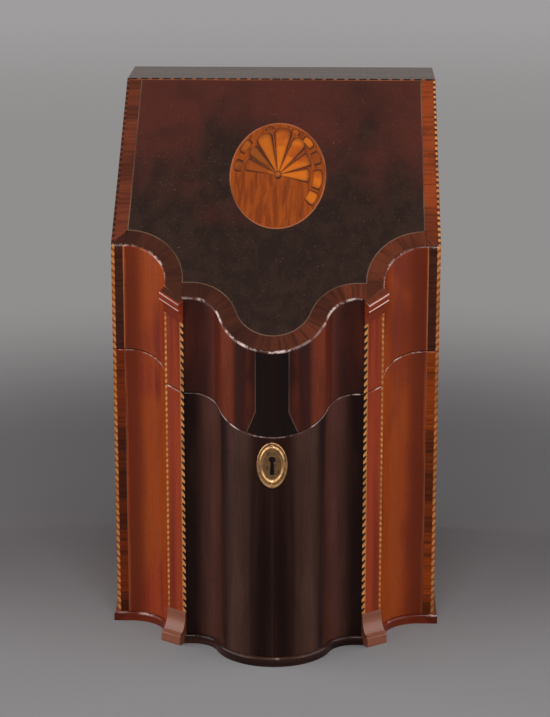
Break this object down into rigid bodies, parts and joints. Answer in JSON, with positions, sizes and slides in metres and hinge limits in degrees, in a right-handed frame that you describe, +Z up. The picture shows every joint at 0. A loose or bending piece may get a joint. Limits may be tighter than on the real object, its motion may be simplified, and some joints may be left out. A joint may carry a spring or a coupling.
{
  "type": "knife box",
  "caption": "Standing cutlery box with a bowed, coved front, canted pilasters, a sloping hinged lid, a lock and a pierced sloping rack inside.",
  "frame": {"origin": "centre of the bounding box on the surface the box stands on", "axes": "+Z up, front with the keyhole towards -Y, +X to the right as seen from the front"},
  "size_m": [0.2338, 0.2934, 0.373],
  "materials": {
    "veneer": "French polished mahogany veneer",
    "carcase_wood": "planed and stained",
    "rack_wood": "polished",
    "moulding": "French polished",
    "chequer_stringing": "boxwood and ebony chequer, polished",
    "rope_stringing": "boxwood and ebony rope pattern, polished",
    "shell_inlay": "sand-shaded satinwood, polished",
    "brass": "polished, aged",
    "lock_brass": "satin",
    "lock_steel": "filed",
    "dark_inlay": "stained and polished"
  },
  "bodies": {
    "case": {"base_board": "carcase_wood", "base_moulding_bay": "moulding", "base_moulding_side_left": "moulding", "base_moulding_side_right": "moulding", "base_moulding_wing_left": "moulding", "base_moulding_wing_right": "moulding", "carcase_back": "carcase_wood", "carcase_corner_stringing": "chequer_stringing", "carcase_front_bay": "veneer", "carcase_pilaster_left": "veneer", "carcase_pilaster_right": "veneer", "carcase_rope_stringing": "rope_stringing", "carcase_side_left": "veneer", "carcase_side_right": "veneer", "carcase_thin_stringing": "chequer_stringing", "carcase_wing_left": "veneer", "carcase_wing_right": "veneer", "escutcheon": "brass", "hinge_leaf_lower_left": "brass", "hinge_leaf_lower_right": "brass", "hinge_pins": "brass", "lock_block": "carcase_wood", "lock_case": "lock_brass", "lock_key_pin": "lock_steel", "lock_selvedge": "lock_brass", "pilaster_foot_left": "veneer", "pilaster_foot_right": "veneer", "rack_board": "rack_wood", "rack_ledge_back": "carcase_wood", "rack_ledge_left": "carcase_wood", "rack_ledge_right": "carcase_wood"},
    "lid": {"hinge_leaf_upper_left": "brass", "hinge_leaf_upper_right": "brass", "lid_back": "carcase_wood", "lid_capital_left": "veneer", "lid_capital_right": "veneer", "lid_corner_stringing": "chequer_stringing", "lid_flat_top": "veneer", "lid_front_bay": "veneer", "lid_keystone": "dark_inlay", "lid_loop_block": "carcase_wood", "lid_pilaster_left": "veneer", "lid_pilaster_right": "veneer", "lid_rope_stringing": "rope_stringing", "lid_side_left": "veneer", "lid_side_right": "veneer", "lid_slope_board": "veneer", "lid_thin_stringing": "chequer_stringing", "lid_wing_left": "veneer", "lid_wing_right": "veneer", "lock_link_plate": "lock_brass", "shell_inlay": "shell_inlay"},
    "bolt": {"lock_bolt": "lock_steel"}
  },
  "joints": [
    {"name": "lid_hinge", "type": "hinge", "parent": "case", "child": "lid", "pos_m": [0, 0.1443, 0.29783], "axis": [-1, 0, 0], "range_deg": [0, 100]},
    {"name": "bolt_slide", "type": "slide", "parent": "case", "child": "bolt", "axis": [1, 0, 0], "range_m": [0, 0.005]}
  ]
}
